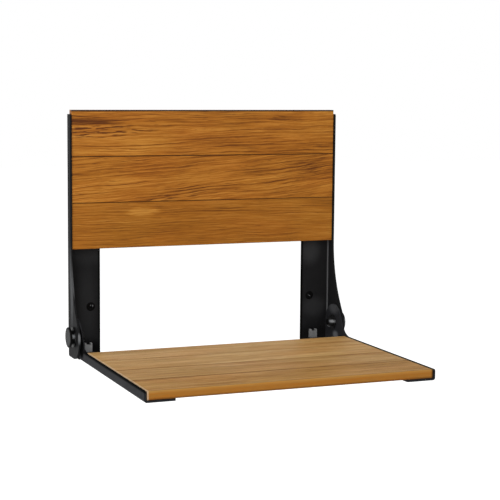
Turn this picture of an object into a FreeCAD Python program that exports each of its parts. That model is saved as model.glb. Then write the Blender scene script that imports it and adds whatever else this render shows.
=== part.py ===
import FreeCAD, Part
import math
import os
import re
import Sketcher

# Fold down wall seat, in mm.
# X runs to the right seen from the room, Y runs into the wall, Z is up.
# The origin is on the wall plane, midway between the two open wall bolt holes.
# Each side's pieces are the same shape mirrored: side is -1 at the left, 1 at the right.

LEFT = -1
RIGHT = 1
SIDES = {"left": LEFT, "right": RIGHT}

SIZES = {
    # overall
    "bracket_half": 235,
    "top_z": 314.7,
    "seat_top_z": -60,
    "seat_front_y": -389.3,
    "seat_rear_y": -86,
    # sheet steel
    "sheet": 3,
    "bend_inside": 2,
    "bend_outside": 5,
    # wall bracket
    "plate_width": 54,
    "plate_bottom_z": -79,
    "plate_corner": 4,
    "flange_depth": 19.5,
    "flange_corner": 3,
    "relief_top_z": -59,
    "relief_depth": 5.5,
    "ear_radius": 30.2,
    "ear_round": 32,
    "ear_bottom_z": -78.4,
    "sweep_angle": 32,
    "sweep_round": 200,
    # hinge
    "pivot_y": -35,
    "pivot_z": -43,
    "pin_radius": 5,
    "pin_clearance": 0.05,
    "cap_radius": 16.5,
    "cap_thickness": 3,
    "cap_edge": 0.5,
    "neck_radius": 11.5,
    "neck_length": 4.4,
    "base_thickness": 2,
    "bush_radius": 7,
    "bush_flange_radius": 14,
    "bush_flange": 0.7,
    "side_gap": 1,
    "bush_proud": 0.3,
    "washer_gap": 0.3,
    "washer_radius": 12.5,
    "washer_thickness": 1.5,
    "nut_flats": 17,
    "nut_height": 5.6,
    "nut_ring_radius": 7.4,
    "nut_ring_height": 2.4,
    "pin_tail": 1,
    # seat arm
    "lobe_radius": 30.4,
    "lobe_angle": 27,
    "throat_round": 30,
    "heel_round": 4.5,
    "rail_drop": 0.3,
    "rail_height": 16.7,
    "rail_front_y": -388.6,
    "rail_corner": 3,
    "rail_bend_inside": 1,
    "rail_bend_outside": 4,
    "rail_flange": 47.5,
    "rail_flange_end_y": -52,
    "rail_flange_corner": 8,
    "tail_in": 17,
    "tail_width": 22,
    "tail_end_y": -5.5,
    "tab_width": 10,
    "tab_height": 10,
    # stop bumper
    "bumper_width": 12.6,
    "bumper_depth": 7.4,
    "bumper_height": 15,
    "bumper_gap": 0.3,
    "bumper_notch": 7,
    "bumper_notch_depth": 3.1,
    "bumper_round": 1,
    # wood
    "back_half": 231.5,
    "back_bottom_z": 97,
    "back_slat_pitch": 74.93,
    "back_thickness": 15,
    "seat_half": 226.7,
    "seat_slat_pitch": 75.825,
    "seat_thickness": 13,
    "slat_gap": 0.3,
    "slat_round": 1,
    "slat_back_round": 2.5,
    # wall holes
    "bolt_x": 197,
    "bolt_radius": 4,
    "bolt_sink_radius": 7.5,
    "bolt_sink_depth": 2,
    "keyhole_z": 280,
    "keyhole_rise": 14,
    "keyhole_entry_radius": 7,
    "keyhole_slot_radius": 3.2,
    "recess_width": 22,
    "recess_height": 44,
    "recess_depth": 6,
}

doc = FreeCAD.newDocument("fold_down_wall_seat")
sheet = doc.addObject("Spreadsheet::Sheet", "Sizes")
for row, (alias, number) in enumerate(SIZES.items(), start=1):
    sheet.set(f"A{row}", alias.replace("_", " "))
    sheet.set(f"B{row}", str(number))
    sheet.setAlias(f"B{row}", alias)
doc.recompute()

pieces = []


def bound(expression):
    """The expression with each size name pointing at its cell."""
    return re.sub(r"[a-z]+(?:_[a-z]+)+|sheet", lambda m: "Sizes." + m[0] if m[0] in SIZES else m[0],
                  str(expression))


def number(expression):
    """What the expression comes to now."""
    return float(sheet.evalExpression(bound(expression)))


def new_body(name):
    body = doc.addObject("PartDesign::Body", name)
    body.Label = name
    pieces.append(body)
    return body


def origin_plane(body, role):
    return next(part for part in body.Origin.OriginFeatures if part.Role == role)


def new_sketch(body, name, plane, across="0", up="0", out="0"):
    """A sketch on one of the body's own planes, moved in that plane and off it."""
    sketch = body.newObject("Sketcher::SketchObject", name)
    sketch.AttachmentSupport = [(origin_plane(body, plane + "_Plane"), "")]
    sketch.MapMode = "FlatFace"
    for axis, shift in zip("xyz", (across, up, out)):
        sketch.setExpression(f"AttachmentOffset.Base.{axis}", bound(shift))
    return sketch


def fix(sketch, kind, first, second, expression):
    """One driven distance of the sketch, from its origin to a point or a radius."""
    value = number(expression)
    if kind == "Radius":
        index = sketch.addConstraint(Sketcher.Constraint(kind, first, value))
    else:
        index = sketch.addConstraint(Sketcher.Constraint(kind, -1, 1, first, second, value))
    sketch.setExpression(f"Constraints[{index}]", bound(expression))


def place(sketch, geometry, end, across, up):
    fix(sketch, "DistanceX", geometry, end, across)
    fix(sketch, "DistanceY", geometry, end, up)


def corner_arc(before, corner, after, radius):
    """Where the arc of this radius meets the two sides, its centre, and its turning sense."""
    arrive = (corner - before).normalize()
    leave = (after - corner).normalize()
    turn = math.atan2(arrive.x * leave.y - arrive.y * leave.x, arrive.dot(leave))
    reach = radius * math.tan(abs(turn) / 2)
    sense = 1 if turn > 0 else -1
    start = corner - arrive * reach
    centre = start + FreeCAD.Vector(-arrive.y, arrive.x, 0) * radius * sense
    return start, corner + leave * reach, centre, sense


def outline(sketch, corners):
    """A closed outline through corners given as (across, up, radius), rounded where the radius isn't 0."""
    count = len(corners)
    points = [FreeCAD.Vector(number(a), number(u), 0) for a, u, _ in corners]
    arcs = []
    for i, (_, _, radius) in enumerate(corners):
        if number(radius) > 0:
            arcs.append(corner_arc(points[i - 1], points[i], points[(i + 1) % count], number(radius)))
        else:
            arcs.append((points[i], points[i], None, 0))
    sides = []
    for i in range(count):
        line = Part.LineSegment(arcs[i][1], arcs[(i + 1) % count][0])
        sides.append(sketch.addGeometry(line, False))
    for i, (across, up, radius) in enumerate(corners):
        start, finish, centre, sense = arcs[i]
        before, after = sides[i - 1], sides[i]
        if not sense:
            sketch.addConstraint(Sketcher.Constraint("Coincident", before, 2, after, 1))
            place(sketch, after, 1, across, up)
            continue
        circle = Part.Circle(centre, FreeCAD.Vector(0, 0, 1), number(radius))
        ends = (start, finish) if sense > 0 else (finish, start)
        angles = [math.atan2(p.y - centre.y, p.x - centre.x) for p in ends]
        arc = sketch.addGeometry(Part.ArcOfCircle(circle, *angles), False)
        corner = sketch.addGeometry(Part.Point(points[i]), True)
        first, last = (1, 2) if sense > 0 else (2, 1)
        sketch.addConstraint(Sketcher.Constraint("PointOnObject", corner, 1, before))
        sketch.addConstraint(Sketcher.Constraint("PointOnObject", corner, 1, after))
        sketch.addConstraint(Sketcher.Constraint("Tangent", before, 2, arc, first))
        sketch.addConstraint(Sketcher.Constraint("Tangent", arc, last, after, 1))
        fix(sketch, "Radius", arc, 0, radius)
        place(sketch, corner, 1, across, up)


def box_outline(sketch, low_across, high_across, low_up, high_up, radius="0"):
    outline(sketch, [
        (low_across, low_up, radius),
        (high_across, low_up, radius),
        (high_across, high_up, radius),
        (low_across, high_up, radius),
    ])


def circle(sketch, across, up, radius):
    centre = FreeCAD.Vector(number(across), number(up), 0)
    index = sketch.addGeometry(Part.Circle(centre, FreeCAD.Vector(0, 0, 1), number(radius)), False)
    fix(sketch, "Radius", index, 0, radius)
    place(sketch, index, 3, across, up)


def finish(body, feature):
    """Makes the feature the body's result and stops if it didn't work."""
    body.Tip = feature
    doc.recompute()
    if "Invalid" in feature.State or "Error" in feature.State or feature.Shape.isNull():
        raise RuntimeError(f"{body.Label}: {feature.Name} failed {feature.State}")
    return feature


def pad(body, name, sketch, length, backward=False):
    feature = body.newObject("PartDesign::Pad", name)
    feature.Profile = sketch
    feature.setExpression("Length", bound(length))
    feature.Reversed = backward
    return finish(body, feature)


def cut(body, name, sketch, length, backward=False):
    """A pocket along the sketch's normal, or against it where backward, that must take material away."""
    before = body.Shape.Volume
    feature = body.newObject("PartDesign::Pocket", name)
    feature.Profile = sketch
    feature.setExpression("Length", bound(length))
    feature.Reversed = not backward
    finish(body, feature)
    if body.Shape.Volume > before - 0.01:
        raise RuntimeError(f"{body.Label}: {name} cuts nothing")
    return feature


def turn(body, name, sketch, kind="PartDesign::Revolution"):
    """The sketch turned round its own across axis, as material or as a groove."""
    feature = body.newObject(kind, name)
    feature.Profile = sketch
    feature.ReferenceAxis = (sketch, ["H_Axis"])
    feature.Angle = 360
    return finish(body, feature)


def edges_where(body, test):
    """Names of the edges whose ends and middle all pass the test."""
    names = []
    for index, edge in enumerate(body.Shape.Edges, start=1):
        middle = edge.valueAt((edge.FirstParameter + edge.LastParameter) / 2)
        points = [vertex.Point for vertex in edge.Vertexes] + [middle]
        if all(test(point) for point in points):
            names.append(f"Edge{index}")
    return names


def round_edges(body, name, radius, test):
    names = edges_where(body, test)
    if not names:
        raise RuntimeError(f"{body.Label}: no edge for {name}")
    base = body.Tip
    feature = body.newObject("PartDesign::Fillet", name)
    feature.Base = (base, names)
    feature.setExpression("Radius", bound(radius))
    return finish(body, feature)


def near(value, expression):
    return abs(value - number(expression)) < 0.01


# Heights and places that follow from the sizes

RAIL_TOP = "(seat_top_z - rail_drop)"
RAIL_BOTTOM = "(seat_top_z - rail_drop - rail_height)"
ARM_OUT = "(bracket_half - sheet - side_gap)"
LOBE_REAR = "(pivot_y + lobe_radius)"


def tangent_y(radius, angle, height):
    """Depth at which a line touching a circle round the pivot crosses a height."""
    return f"(pivot_y - ({radius} - ({height} - pivot_z) * sin({angle})) / cos({angle}))"


def tangent_z(radius, angle, depth):
    """Height at which that line crosses a depth."""
    return f"(pivot_z + ({radius} + ({depth} - pivot_y) * cos({angle})) / sin({angle}))"


def wall_bracket(name, side):
    """Bent sheet bracket: a plate flat on the wall and a side flange that sweeps out into the hinge ear."""
    body = new_body(name)
    flange = new_sketch(body, "flange_outline", "YZ", out=f"{side} * bracket_half")
    outline(flange, [
        ("0", "relief_top_z", "0"),
        ("0", "top_z", "0"),
        ("-flange_depth", "top_z", "flange_corner"),
        ("-flange_depth", tangent_z("ear_radius", "sweep_angle", "(-flange_depth)"), "sweep_round"),
        (tangent_y("ear_radius", "sweep_angle", "ear_bottom_z"), "ear_bottom_z", "ear_round"),
        ("-relief_depth", "ear_bottom_z", "plate_corner"),
        ("-relief_depth", "relief_top_z", "0"),
    ])
    pad(body, "flange", flange, "sheet", backward=side == RIGHT)
    outer = f"{side} * bracket_half"
    relieved = f"{side} * (bracket_half - relief_depth)"
    inner = f"{side} * (bracket_half - plate_width)"
    plate = new_sketch(body, "plate_outline", "XZ")
    outline(plate, [
        (outer, "top_z", "0"),
        (inner, "top_z", "plate_corner"),
        (inner, "plate_bottom_z", "plate_corner"),
        (relieved, "plate_bottom_z", "plate_corner"),
        (relieved, "relief_top_z", "0"),
        (outer, "relief_top_z", "0"),
    ])
    pad(body, "plate", plate, "sheet")
    inside = f"{side} * (bracket_half - sheet)"
    round_edges(body, "bend_inside_round", "bend_inside",
                lambda p: near(p.x, inside) and near(p.y, "-sheet"))
    round_edges(body, "bend_outside_round", "bend_outside",
                lambda p: near(p.x, outer) and near(p.y, "0"))
    pivot = new_sketch(body, "pivot_hole_outline", "YZ", out=outer)
    circle(pivot, "pivot_y", "pivot_z", "pin_radius + pin_clearance")
    cut(body, "pivot_hole", pivot, "2 * sheet", backward=side == RIGHT)
    bolt = new_sketch(body, "bolt_hole_outline", "YZ", out=f"{side} * bolt_x")
    outline(bolt, [
        ("1", "0", "0"),
        ("1", "bolt_radius", "0"),
        ("bolt_sink_depth - sheet", "bolt_radius", "0"),
        ("-sheet", "bolt_sink_radius", "0"),
        ("-sheet - 1", "bolt_sink_radius", "0"),
        ("-sheet - 1", "0", "0"),
    ])
    turn(body, "bolt_hole", bolt, "PartDesign::Groove")
    keyhole = new_sketch(body, "keyhole_entry_outline", "XZ")
    circle(keyhole, f"{side} * bolt_x", "keyhole_z", "keyhole_entry_radius")
    cut(body, "keyhole_entry", keyhole, "sheet")
    slot = new_sketch(body, "keyhole_slot_outline", "XZ")
    outline(slot, [
        (f"{side} * bolt_x - keyhole_slot_radius", "keyhole_z", "0"),
        (f"{side} * bolt_x + keyhole_slot_radius", "keyhole_z", "0"),
        (f"{side} * bolt_x + keyhole_slot_radius", "keyhole_z + keyhole_rise", "keyhole_slot_radius - 0.1"),
        (f"{side} * bolt_x - keyhole_slot_radius", "keyhole_z + keyhole_rise", "keyhole_slot_radius - 0.1"),
    ])
    cut(body, "keyhole_slot", slot, "sheet")
    return body


def back_slat(name, row):
    """One board of the backrest. The top one has the recesses over the keyholes."""
    body = new_body(name)
    low = f"(back_bottom_z + {row} * back_slat_pitch + slat_gap / 2)"
    high = f"(back_bottom_z + {row + 1} * back_slat_pitch - slat_gap / 2)"
    board = new_sketch(body, "board_outline", "XZ", out="sheet")
    box_outline(board, "-back_half", "back_half", low, high)
    pad(body, "board", board, "back_thickness")
    if row == 2:
        recess = new_sketch(body, "recess_outline", "XZ", out="sheet")
        for side in (LEFT, RIGHT):
            box_outline(recess, f"{side} * bolt_x - recess_width / 2", f"{side} * bolt_x + recess_width / 2",
                        "keyhole_z + keyhole_rise / 2 - recess_height / 2",
                        "keyhole_z + keyhole_rise / 2 + recess_height / 2", "4")
        cut(body, "recesses", recess, "recess_depth")
    round_edges(body, "front_round", "slat_round", lambda p: near(p.y, "-sheet - back_thickness"))
    round_edges(body, "back_round", "slat_back_round",
                lambda p: near(p.y, "-sheet") and near(abs(p.x), "back_half"))
    return body


def seat_arm(name, side):
    """Bent sheet arm: a web with the hinge lobe, a flange under the slats, and a tail with the stop tab."""
    body = new_body(name)
    outer = f"{side} * {ARM_OUT}"
    inner = f"{side} * ({ARM_OUT} - rail_flange)"
    web = new_sketch(body, "web_outline", "YZ", out=outer)
    above_bend = f"({RAIL_BOTTOM} + rail_bend_outside + 1)"
    outline(web, [
        ("rail_front_y", above_bend, "0"),
        ("rail_flange_end_y", above_bend, "0"),
        ("rail_flange_end_y", RAIL_BOTTOM, "0"),
        (LOBE_REAR, RAIL_BOTTOM, "heel_round"),
        (LOBE_REAR, tangent_z("lobe_radius", "lobe_angle", LOBE_REAR), "lobe_radius"),
        (tangent_y("lobe_radius", "lobe_angle", RAIL_TOP), RAIL_TOP, "throat_round"),
        ("rail_front_y", RAIL_TOP, "rail_corner"),
    ])
    pad(body, "web", web, "sheet", backward=side == RIGHT)
    bend = new_sketch(body, "bend_outline", "XZ", out="-rail_front_y")
    outline(bend, [
        (outer, above_bend, "0"),
        (outer, RAIL_BOTTOM, "rail_bend_outside"),
        (inner, RAIL_BOTTOM, "0"),
        (inner, f"{RAIL_BOTTOM} + sheet", "0"),
        (f"{outer} - {side} * sheet", f"{RAIL_BOTTOM} + sheet", "rail_bend_inside"),
        (f"{outer} - {side} * sheet", above_bend, "0"),
    ])
    pad(body, "bend", bend, "rail_flange_end_y - rail_front_y", backward=True)
    round_edges(body, "flange_front_round", "rail_corner",
                lambda p: near(p.x, inner) and near(p.y, "rail_front_y"))
    round_edges(body, "flange_rear_round", "rail_flange_corner",
                lambda p: near(p.x, inner) and near(p.y, "rail_flange_end_y"))
    tail = new_sketch(body, "tail_outline", "XY", out=RAIL_BOTTOM)
    near_edge = f"({outer} - {side} * tail_in)"
    far_edge = f"({outer} - {side} * (tail_in + tail_width))"
    outline(tail, [
        (near_edge, "rail_flange_end_y - 5", "0"),
        (near_edge, "tail_end_y", "rail_corner"),
        (far_edge, "tail_end_y", "rail_corner"),
        (far_edge, "rail_flange_end_y - 5", "0"),
    ])
    pad(body, "tail", tail, "sheet")
    middle = f"({outer} - {side} * (tail_in + tail_width / 2))"
    tab = new_sketch(body, "tab_outline", "XY", out=RAIL_BOTTOM)
    box_outline(tab, f"{middle} - tab_width / 2", f"{middle} + tab_width / 2",
                "tail_end_y - sheet", "tail_end_y")
    pad(body, "tab", tab, "sheet + tab_height")
    pivot = new_sketch(body, "pivot_hole_outline", "YZ", out=outer)
    circle(pivot, "pivot_y", "pivot_z", "bush_radius")
    cut(body, "pivot_hole", pivot, "2 * sheet", backward=side == RIGHT)
    return body


def seat_slat(name, row):
    """One board of the seat, counted from the front."""
    body = new_body(name)
    front = f"(seat_front_y + {row} * seat_slat_pitch + {0 if row == 0 else 0.5} * slat_gap)"
    rear = f"(seat_front_y + {row + 1} * seat_slat_pitch - {0 if row == 3 else 0.5} * slat_gap)"
    board = new_sketch(body, "board_outline", "XY", out="seat_top_z - seat_thickness")
    box_outline(board, "-seat_half", "seat_half", front, rear)
    pad(body, "board", board, "seat_thickness")
    round_edges(body, "top_round", "slat_round", lambda p: near(p.z, "seat_top_z"))
    return body


def hinge_part(name, side, profiles):
    """A turned piece on the pivot axis. Each profile is a list of (distance from centre, radius, round)."""
    body = new_body(name)
    for index, profile in enumerate(profiles):
        sketch = new_sketch(body, f"profile_{index}", "XY", up="pivot_y", out="pivot_z")
        outline(sketch, [(f"{side} * ({along})", radius, rounding) for along, radius, rounding in profile])
        turn(body, f"turned_{index}", sketch)
    return body


CAP_OUT = "(bracket_half + base_thickness + neck_length + cap_thickness)"
WASHER_OUT = f"({ARM_OUT} - sheet - bush_proud - washer_gap)"
NUT_OUT = f"({WASHER_OUT} - washer_thickness)"
NUT_IN = f"({NUT_OUT} - nut_height - nut_ring_height)"
BORE = "(pin_radius + pin_clearance)"


def hinge_pin(name, side):
    """Hinge bolt: a flat round head outside and a plain shank that ends past the nut."""
    under_head = f"({CAP_OUT} - cap_thickness)"
    return hinge_part(name, side, [[
        (f"{NUT_IN} - pin_tail", "0", "0"),
        (f"{NUT_IN} - pin_tail", "pin_radius", "0"),
        (under_head, "pin_radius", "0"),
        (under_head, "cap_radius", "0"),
        (f"{CAP_OUT} - cap_edge", "cap_radius", "0"),
        (CAP_OUT, "cap_radius - cap_edge", "0"),
        (CAP_OUT, "0", "0"),
    ]])


def hinge_collar(name, side):
    """Collar between the bolt head and the bracket ear: a wide foot and a narrower neck."""
    return hinge_part(name, side, [[
        ("bracket_half", BORE, "0"),
        ("bracket_half", "cap_radius", "0"),
        ("bracket_half + base_thickness", "cap_radius", "0"),
        ("bracket_half + base_thickness", "neck_radius", "0"),
        ("bracket_half + base_thickness + neck_length", "neck_radius", "0"),
        ("bracket_half + base_thickness + neck_length", BORE, "0"),
    ]])


def hinge_bush(name, side):
    """Flanged bush pressed into the arm: its flange keeps the arm off the bracket."""
    return hinge_part(name, side, [[
        (f"{ARM_OUT} + bush_flange", BORE, "0"),
        (f"{ARM_OUT} + bush_flange", "bush_flange_radius", "0"),
        (ARM_OUT, "bush_flange_radius", "0"),
        (ARM_OUT, "bush_radius", "0"),
        (f"{ARM_OUT} - sheet - bush_proud", "bush_radius", "0"),
        (f"{ARM_OUT} - sheet - bush_proud", BORE, "0"),
    ]])


def hinge_washer(name, side):
    return hinge_part(name, side, [[
        (WASHER_OUT, BORE, "0"),
        (WASHER_OUT, "washer_radius", "0"),
        (NUT_OUT, "washer_radius", "0"),
        (NUT_OUT, BORE, "0"),
    ]])


def hinge_nut(name, side):
    """Lock nut: a hexagon and the round collar that holds the locking ring."""
    body = new_body(name)
    hexagon = new_sketch(body, "hexagon_outline", "YZ", out=f"{side} * {NUT_OUT}")
    outline(hexagon, [
        (f"pivot_y + nut_flats / sqrt(3) * cos({60 * k})", f"pivot_z + nut_flats / sqrt(3) * sin({60 * k})", "0")
        for k in range(6)
    ])
    pad(body, "hexagon", hexagon, "nut_height", backward=side == RIGHT)
    ring = new_sketch(body, "ring_outline", "YZ", out=f"{side} * {NUT_OUT}")
    circle(ring, "pivot_y", "pivot_z", "nut_ring_radius")
    pad(body, "ring", ring, "nut_height + nut_ring_height", backward=side == RIGHT)
    bore = new_sketch(body, "bore_outline", "YZ", out=f"{side} * {NUT_OUT}")
    circle(bore, "pivot_y", "pivot_z", BORE)
    cut(body, "bore", bore, "nut_height + nut_ring_height", backward=side == RIGHT)
    return body


def stop_bumper(name, side):
    """Moulded bumper pushed over the arm's stop tab: it meets the wall plate when the seat is level."""
    body = new_body(name)
    middle = f"({side} * ({ARM_OUT} - tail_in - tail_width / 2))"
    floor = f"({RAIL_BOTTOM} + sheet)"
    block = new_sketch(body, "block_outline", "YZ", out=f"{middle} - bumper_width / 2")
    rear = "(-sheet - bumper_gap)"
    outline(block, [
        (f"{rear} - bumper_depth", floor, "0"),
        (rear, floor, "bumper_round"),
        (rear, f"{floor} + bumper_height", "bumper_round"),
        (f"{rear} - bumper_depth", f"{floor} + bumper_height", "bumper_round"),
    ])
    pad(body, "block", block, "bumper_width")
    slot = new_sketch(body, "tab_slot_outline", "XY", out=floor)
    box_outline(slot, f"{middle} - tab_width / 2", f"{middle} + tab_width / 2", "tail_end_y - sheet", "tail_end_y")
    cut(body, "tab_slot", slot, "tab_height")
    notch = new_sketch(body, "notch_outline", "XZ", out="0")
    box_outline(notch, f"{middle} - bumper_notch / 2", f"{middle} + bumper_notch / 2",
                f"{floor} + bumper_height - bumper_notch_depth", f"{floor} + bumper_height + 1")
    cut(body, "notch", notch, "bumper_depth + sheet + 2")
    return body


for name, side in SIDES.items():
    wall_bracket(f"wall_bracket_{name}", side)
    hinge_pin(f"hinge_pin_{name}", side)
    hinge_collar(f"hinge_collar_{name}", side)
    hinge_washer(f"hinge_washer_{name}", side)
    hinge_nut(f"hinge_nut_{name}", side)
    hinge_bush(f"hinge_bush_{name}", side)
    seat_arm(f"seat_arm_{name}", side)
    stop_bumper(f"stop_bumper_{name}", side)

for row, name in enumerate(("bottom", "middle", "top")):
    back_slat(f"back_slat_{name}", row)

for row in range(4):
    seat_slat(f"seat_slat_{row + 1}", row)

doc.recompute()
for thing in doc.Objects:
    if "Invalid" in thing.State or "Error" in thing.State:
        raise RuntimeError(f"{thing.Label} has state {thing.State}")

os.makedirs("parts", exist_ok=True)
for body in pieces:
    shape = body.Shape
    if shape.isNull() or not shape.isValid() or not shape.Solids:
        raise RuntimeError(f"{body.Label} is no valid solid")
    shape.exportStep(f"parts/{body.Label}.step")
    print(body.Label, len(shape.Solids), round(shape.Volume, 1))
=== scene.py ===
"""Looks for the fold down wall seat: teak boards on black sheet steel, with the studio it is shown in."""

import logging
import math
from dataclasses import dataclass, field, replace
from enum import Enum
from functools import cache
from typing import Optional, Sequence, Union

import bmesh
import bpy
from mathutils import Matrix, Vector


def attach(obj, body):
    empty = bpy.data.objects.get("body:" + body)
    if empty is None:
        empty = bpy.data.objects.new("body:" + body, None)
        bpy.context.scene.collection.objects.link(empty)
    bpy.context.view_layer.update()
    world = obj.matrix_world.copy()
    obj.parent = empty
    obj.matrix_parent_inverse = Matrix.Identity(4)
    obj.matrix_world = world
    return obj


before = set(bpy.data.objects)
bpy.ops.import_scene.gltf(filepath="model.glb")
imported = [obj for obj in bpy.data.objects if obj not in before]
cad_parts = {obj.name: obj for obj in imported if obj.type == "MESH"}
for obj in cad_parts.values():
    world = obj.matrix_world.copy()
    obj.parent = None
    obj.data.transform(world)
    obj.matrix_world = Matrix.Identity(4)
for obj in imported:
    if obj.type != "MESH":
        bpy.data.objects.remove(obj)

log = logging.getLogger("wall_seat")

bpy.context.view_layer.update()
MM = 0.001
WHITE = (1.0, 1.0, 1.0)

# Where the boards are in the frame: their outer faces, and the pitch across each panel
BACK_FRONT_MM = -15
BACK_PITCH_MM = 74.93
SEAT_TOP_MM = -60
SEAT_UNDER_MM = -73
SEAT_FRONT_MM = -389.3
SEAT_PITCH_MM = 75.825

Socket = bpy.types.NodeSocket
Triple = tuple[float, float, float]
Colour = Triple
Feed = Union[Socket, float, int, Sequence[float]]


def linear(red: int, green: int, blue: int) -> Colour:
    """A screen colour as light.

    Args:
        red: 0 to 255.
        green: 0 to 255.
        blue: 0 to 255.

    Returns:
        The three linear values.
    """
    def channel(value: int) -> float:
        """One channel, from screen value to light."""
        share = value / 255
        return share / 12.92 if share <= 0.04045 else ((share + 0.055) / 1.055) ** 2.4

    return channel(red), channel(green), channel(blue)


class Side(Enum):
    """The two mirrored halves, by their sign along X."""

    LEFT = -1
    RIGHT = 1

    @property
    def word(self) -> str:
        """The ending that this side's piece names have."""
        return self.name.lower()


class Lie(Enum):
    """How a panel's boards are stacked: the row axis across them and the one through them."""

    BACK = ("Z", "Y")
    SEAT = ("Y", "Z")


class Graph:
    """Places shader nodes in a tree and feeds their sockets."""

    def __init__(self, tree: bpy.types.NodeTree) -> None:
        """Starts on a tree.

        Args:
            tree: the material's or the group's node tree.
        """
        self.tree = tree

    @classmethod
    def on(cls, data: Union[bpy.types.Material, bpy.types.World]) -> "Graph":
        """An empty graph on a material or a world.

        Args:
            data: the material or the world.

        Returns:
            The graph.
        """
        data.use_nodes = True
        data.node_tree.nodes.clear()
        return cls(data.node_tree)

    def feed(self, socket: Socket, value: Feed) -> None:
        """Links a socket, or sets its value.

        Args:
            socket: the input.
            value: an output to link, or a constant.
        """
        if isinstance(value, bpy.types.NodeSocket):
            self.tree.links.new(value, socket)
        elif isinstance(value, (int, float)) or len(value) == 3 and socket.type != "RGBA":
            socket.default_value = value
        else:
            socket.default_value = (*value, 1.0)[:4]

    def add(self, kind: str, inputs: Optional[dict[Union[str, int], Feed]] = None,
            **settings: object) -> bpy.types.Node:
        """A node with its settings and inputs.

        Args:
            kind: the node's type without its ShaderNode prefix.
            inputs: socket name or number to value.
            settings: properties of the node.

        Returns:
            The node.
        """
        node = self.tree.nodes.new("ShaderNode" + kind)
        for name, value in settings.items():
            setattr(node, name, value)
        for key, value in (inputs or {}).items():
            self.feed(node.inputs[key], value)
        return node

    def sum(self, operation: str, *values: Feed) -> Socket:
        """A Math node's result.

        Args:
            operation: such as ADD or MULTIPLY.
            values: up to three operands.

        Returns:
            Its output.
        """
        return self.add("Math", dict(enumerate(values)), operation=operation).outputs[0]

    def spread(self, value: Feed, low: float, high: float,
               to_low: float = 0.0, to_high: float = 1.0) -> Socket:
        """A value taken from one range to another and held inside it.

        Args:
            value: what to map.
            low: the start of its range.
            high: the end of its range.
            to_low: result at low.
            to_high: result at high.

        Returns:
            The mapped value.
        """
        node = self.add("MapRange", {0: value, 1: low, 2: high, 3: to_low, 4: to_high}, clamp=True)
        return node.outputs[0]

    def fade(self, value: Feed, full: Feed) -> Socket:
        """A mask that is 1 up to a value and falls softly to 0 at a value of 1.

        Args:
            value: what to map.
            full: where the fall starts.

        Returns:
            The mask.
        """
        node = self.add("MapRange", {0: value, 1: 1.0, 2: full, 3: 0.0, 4: 1.0}, clamp=True,
                        interpolation_type="SMOOTHSTEP")
        return node.outputs[0]

    def distance(self, first: Feed, second: Feed) -> Socket:
        """The length of two sides at right angles."""
        squares = [self.sum("MULTIPLY", side, side) for side in (first, second)]
        return self.sum("SQRT", self.sum("ADD", *squares))

    def mix(self, share: Feed, first: Feed, second: Feed, blend: str = "MIX") -> Socket:
        """Two colours mixed.

        Args:
            share: how much of the second.
            first: colour at 0.
            second: colour at 1.
            blend: the mixing rule.

        Returns:
            The colour.
        """
        node = self.add("Mix", data_type="RGBA", blend_type=blend)
        self.feed(node.inputs[0], share)
        self.feed(node.inputs[6], first)
        self.feed(node.inputs[7], second)
        return node.outputs[2]

    def ramp(self, share: Feed, stops: Sequence[tuple[float, Colour]]) -> Socket:
        """A colour ramp.

        Args:
            share: where on the ramp.
            stops: place and colour of each stop.

        Returns:
            The colour.
        """
        node = self.add("ValToRGB", {0: share})
        elements = node.color_ramp.elements
        while len(elements) < len(stops):
            elements.new(0.5)
        for element, (place, colour) in zip(elements, stops):
            element.position = place
            element.color = (*colour, 1.0)
        return node.outputs[0]

    def noise(self, vector: Feed, scale: float, detail: float = 2.0, roughness: float = 0.5) -> Socket:
        """A noise value round 0.5.

        Args:
            vector: where it is read.
            scale: lumps per metre.
            detail: octaves.
            roughness: strength of the finer octaves.

        Returns:
            The value.
        """
        node = self.add("TexNoise", {"Vector": vector, "Scale": scale, "Detail": detail,
                                     "Roughness": roughness})
        return node.outputs[0]

    def streaks(self, vector: Feed, per_metre: Sequence[float], detail: float = 2.0,
                roughness: float = 0.5) -> Socket:
        """A noise value round 0.5 that is drawn out differently along each axis.

        Args:
            vector: where it is read.
            per_metre: lumps per metre along each axis.
            detail: octaves.
            roughness: strength of the finer octaves.

        Returns:
            The value.
        """
        drawn = self.add("VectorMath", {0: vector, 1: per_metre}, operation="MULTIPLY")
        return self.noise(drawn.outputs[0], 1.0, detail, roughness)

    def group(self, tree: bpy.types.NodeTree, inputs: dict[str, Feed]) -> bpy.types.Node:
        """A placed group.

        Args:
            tree: the group's tree.
            inputs: socket name to value.

        Returns:
            The group node.
        """
        node = self.tree.nodes.new("ShaderNodeGroup")
        node.node_tree = tree
        for key, value in inputs.items():
            self.feed(node.inputs[key], value)
        return node


class Effect:
    """A shader node group that several finishes share."""

    def __init__(self, name: str, inputs: dict[str, Optional[float]], floats: Sequence[str],
                 vectors: Sequence[str] = ()) -> None:
        """Makes the empty group with its sockets.

        Args:
            name: the group's name.
            inputs: default of each input by name, None for a vector.
            floats: names of the outputs that are numbers.
            vectors: names of the outputs that are vectors.
        """
        self.tree = bpy.data.node_groups.new(name, "ShaderNodeTree")
        for label, default in inputs.items():
            kind = "NodeSocketVector" if default is None else "NodeSocketFloat"
            socket = self.tree.interface.new_socket(label, in_out="INPUT", socket_type=kind)
            if default is not None:
                socket.default_value = default
        for kind, labels in (("NodeSocketVector", vectors), ("NodeSocketFloat", floats)):
            for label in labels:
                self.tree.interface.new_socket(label, in_out="OUTPUT", socket_type=kind)
        self.graph = Graph(self.tree)
        self.inlet = self.tree.nodes.new("NodeGroupInput")
        self.outlet = self.tree.nodes.new("NodeGroupOutput")

    def value(self, name: str) -> Socket:
        """The group's input of that name."""
        return self.inlet.outputs[name]

    def give(self, name: str, value: Feed) -> None:
        """Sends a value to the group's output of that name."""
        self.graph.feed(self.outlet.inputs[name], value)


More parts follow.
